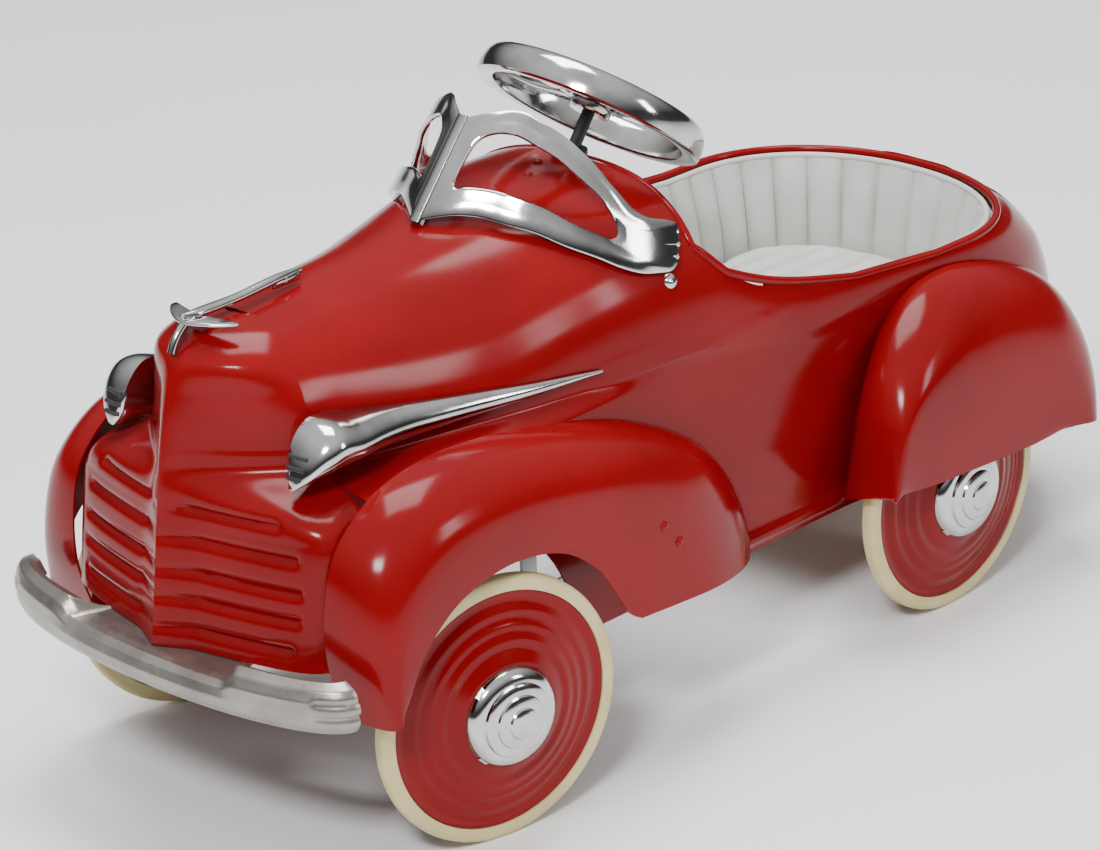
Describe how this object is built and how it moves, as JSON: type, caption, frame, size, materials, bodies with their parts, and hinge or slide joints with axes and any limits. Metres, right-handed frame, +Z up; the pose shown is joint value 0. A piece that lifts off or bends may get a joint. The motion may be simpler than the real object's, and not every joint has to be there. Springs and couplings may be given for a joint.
{
  "type": "pedal car",
  "caption": "Child's pedal car with a pressed steel body, wrap-around bumper, open cockpit, steerable front wheels and two swinging pedals that drive a crank axle.",
  "frame": {"origin": "Middle of the bounding box on the ground plane under the tyres.", "axes": "+X is the car's left side, +Y runs from the nose to the tail so the front faces -Y, +Z is up."},
  "size_m": [0.412, 0.955, 0.4974],
  "materials": {
    "red_enamel": "glossy red enamel over pressed steel",
    "chrome": "bright chrome plate",
    "silver_paint": "dull warm silver paint with light wear",
    "black_steel": "satin black painted steel",
    "cream_rubber": "smooth cream rubber",
    "white_vinyl": "satin white vinyl",
    "bare_steel": "plain zinc-plated steel",
    "plywood": "oiled plywood"
  },
  "bodies": {
    "body": {"body_shell": "red_enamel", "nose_grille": "red_enamel", "front_fender_left": "red_enamel", "rear_fender_left": "red_enamel", "front_fender_right": "red_enamel", "rear_fender_right": "red_enamel", "front_bumper": "silver_paint", "headlight_trim_left": "chrome", "headlight_trim_right": "chrome", "hood_ornament": "chrome", "windshield_frame": "chrome", "column_bushing": "black_steel", "front_axle_beam": "black_steel", "front_axle_support": "black_steel", "kingpin_left": "bare_steel", "kingpin_right": "bare_steel", "pedal_rod": "bare_steel", "seat_board": "plywood", "rear_axle_bracket_left": "black_steel", "rear_axle_bracket_right": "black_steel", "seat_cushion": "white_vinyl", "seat_liner": "white_vinyl", "front_fender_bolt_left_1": "red_enamel", "front_fender_bolt_left_2": "red_enamel", "windshield_screw_left": "chrome", "front_fender_bolt_right_1": "red_enamel", "front_fender_bolt_right_2": "red_enamel", "windshield_screw_right": "chrome", "cowl_bolt_1": "red_enamel", "cowl_bolt_2": "red_enamel"},
    "steering": {"steering_column": "black_steel", "steering_wheel": "chrome", "steering_wheel_nut": "chrome"},
    "knuckle_left": {"steering_knuckle_left": "black_steel", "axle_nut_front_left": "bare_steel"},
    "wheel_front_left": {"wheel_disc_front_left": "red_enamel", "tyre_front_left": "cream_rubber", "hubcap_front_left": "chrome"},
    "knuckle_right": {"steering_knuckle_right": "black_steel", "axle_nut_front_right": "bare_steel"},
    "wheel_front_right": {"wheel_disc_front_right": "red_enamel", "tyre_front_right": "cream_rubber", "hubcap_front_right": "chrome"},
    "tie_rod": {"tie_rod": "black_steel"},
    "rear_axle": {"rear_axle": "bare_steel", "wheel_disc_rear_left": "red_enamel", "tyre_rear_left": "cream_rubber", "hubcap_rear_left": "chrome", "axle_nut_rear_left": "bare_steel", "axle_nut_rear_right": "bare_steel"},
    "wheel_rear_right": {"wheel_disc_rear_right": "red_enamel", "tyre_rear_right": "cream_rubber", "hubcap_rear_right": "chrome"},
    "strap_left": {"drive_strap_left": "bare_steel"},
    "hanger_left": {"pedal_hanger_left": "bare_steel"},
    "pad_left": {"pedal_pad_left": "cream_rubber"},
    "strap_right": {"drive_strap_right": "bare_steel"},
    "hanger_right": {"pedal_hanger_right": "bare_steel"},
    "pad_right": {"pedal_pad_right": "cream_rubber"}
  },
  "joints": [
    {"name": "steering_turn", "type": "hinge", "parent": "body", "child": "steering", "pos_m": [0, 0.00495, 0.4385], "axis": [0, 0.6046, 0.7965], "range_deg": [-7.4, 45.6]},
    {"name": "knuckle_left_turn", "type": "hinge", "parent": "body", "child": "knuckle_left", "pos_m": [0.135, -0.28355, 0.10073], "axis": [0, 0, 1], "range_deg": [-4.2, 24.6]},
    {"name": "knuckle_right_turn", "type": "hinge", "parent": "body", "child": "knuckle_right", "pos_m": [-0.135, -0.28355, 0.10073], "axis": [0, 0, 1], "range_deg": [-4.2, 24.6]},
    {"name": "tie_rod_slide", "type": "slide", "parent": "body", "child": "tie_rod", "axis": [1, 0, 0], "range_m": [-0.0205, 0.0036]},
    {"name": "front_wheel_left_spin", "type": "hinge", "parent": "knuckle_left", "child": "wheel_front_left", "pos_m": [0.135, -0.28355, 0.10073], "axis": [0.9842, -0.1771, 0], "continuous": true},
    {"name": "front_wheel_right_spin", "type": "hinge", "parent": "knuckle_right", "child": "wheel_front_right", "pos_m": [-0.135, -0.28355, 0.10073], "axis": [0.9842, -0.1771, 0], "continuous": true},
    {"name": "rear_axle_spin", "type": "hinge", "parent": "body", "child": "rear_axle", "pos_m": [0, 0.21795, 0.10073], "axis": [1, 0, 0], "continuous": true},
    {"name": "rear_wheel_right_spin", "type": "hinge", "parent": "rear_axle", "child": "wheel_rear_right", "pos_m": [0, 0.21795, 0.10073], "axis": [1, 0, 0], "continuous": true},
    {"name": "drive_strap_left_turn", "type": "hinge", "parent": "rear_axle", "child": "strap_left", "pos_m": [0.078, 0.21795, 0.14273], "axis": [1, 0, 0], "continuous": true},
    {"name": "drive_strap_right_turn", "type": "hinge", "parent": "rear_axle", "child": "strap_right", "pos_m": [-0.078, 0.21795, 0.05873], "axis": [1, 0, 0], "continuous": true},
    {"name": "pedal_left_swing", "type": "hinge", "parent": "body", "child": "hanger_left", "pos_m": [0.072, -0.15505, 0.3], "axis": [1, 0, 0], "range_deg": [-12.5, 12.5]},
    {"name": "pedal_right_swing", "type": "hinge", "parent": "body", "child": "hanger_right", "pos_m": [-0.072, -0.15505, 0.3], "axis": [1, 0, 0], "range_deg": [-12.5, 12.5]},
    {"name": "pedal_pad_left_turn", "type": "hinge", "parent": "hanger_left", "child": "pad_left", "pos_m": [0.049, -0.15505, 0.106], "axis": [1, 0, 0], "range_deg": [-25, 25]},
    {"name": "pedal_pad_right_turn", "type": "hinge", "parent": "hanger_right", "child": "pad_right", "pos_m": [-0.049, -0.15505, 0.106], "axis": [1, 0, 0], "range_deg": [-25, 25]}
  ],
  "couplings": [
    {"joint": "knuckle_left_turn", "follows": "steering_turn", "ratio": 0.534},
    {"joint": "knuckle_right_turn", "follows": "steering_turn", "ratio": 0.534},
    {"joint": "tie_rod_slide", "follows": "steering_turn", "m_per_rad": -0.0254},
    {"joint": "drive_strap_left_turn", "follows": "rear_axle_spin", "ratio": -1},
    {"joint": "drive_strap_right_turn", "follows": "rear_axle_spin", "ratio": -1},
    {"joint": "pedal_right_swing", "follows": "pedal_left_swing", "ratio": -1}
  ]
}
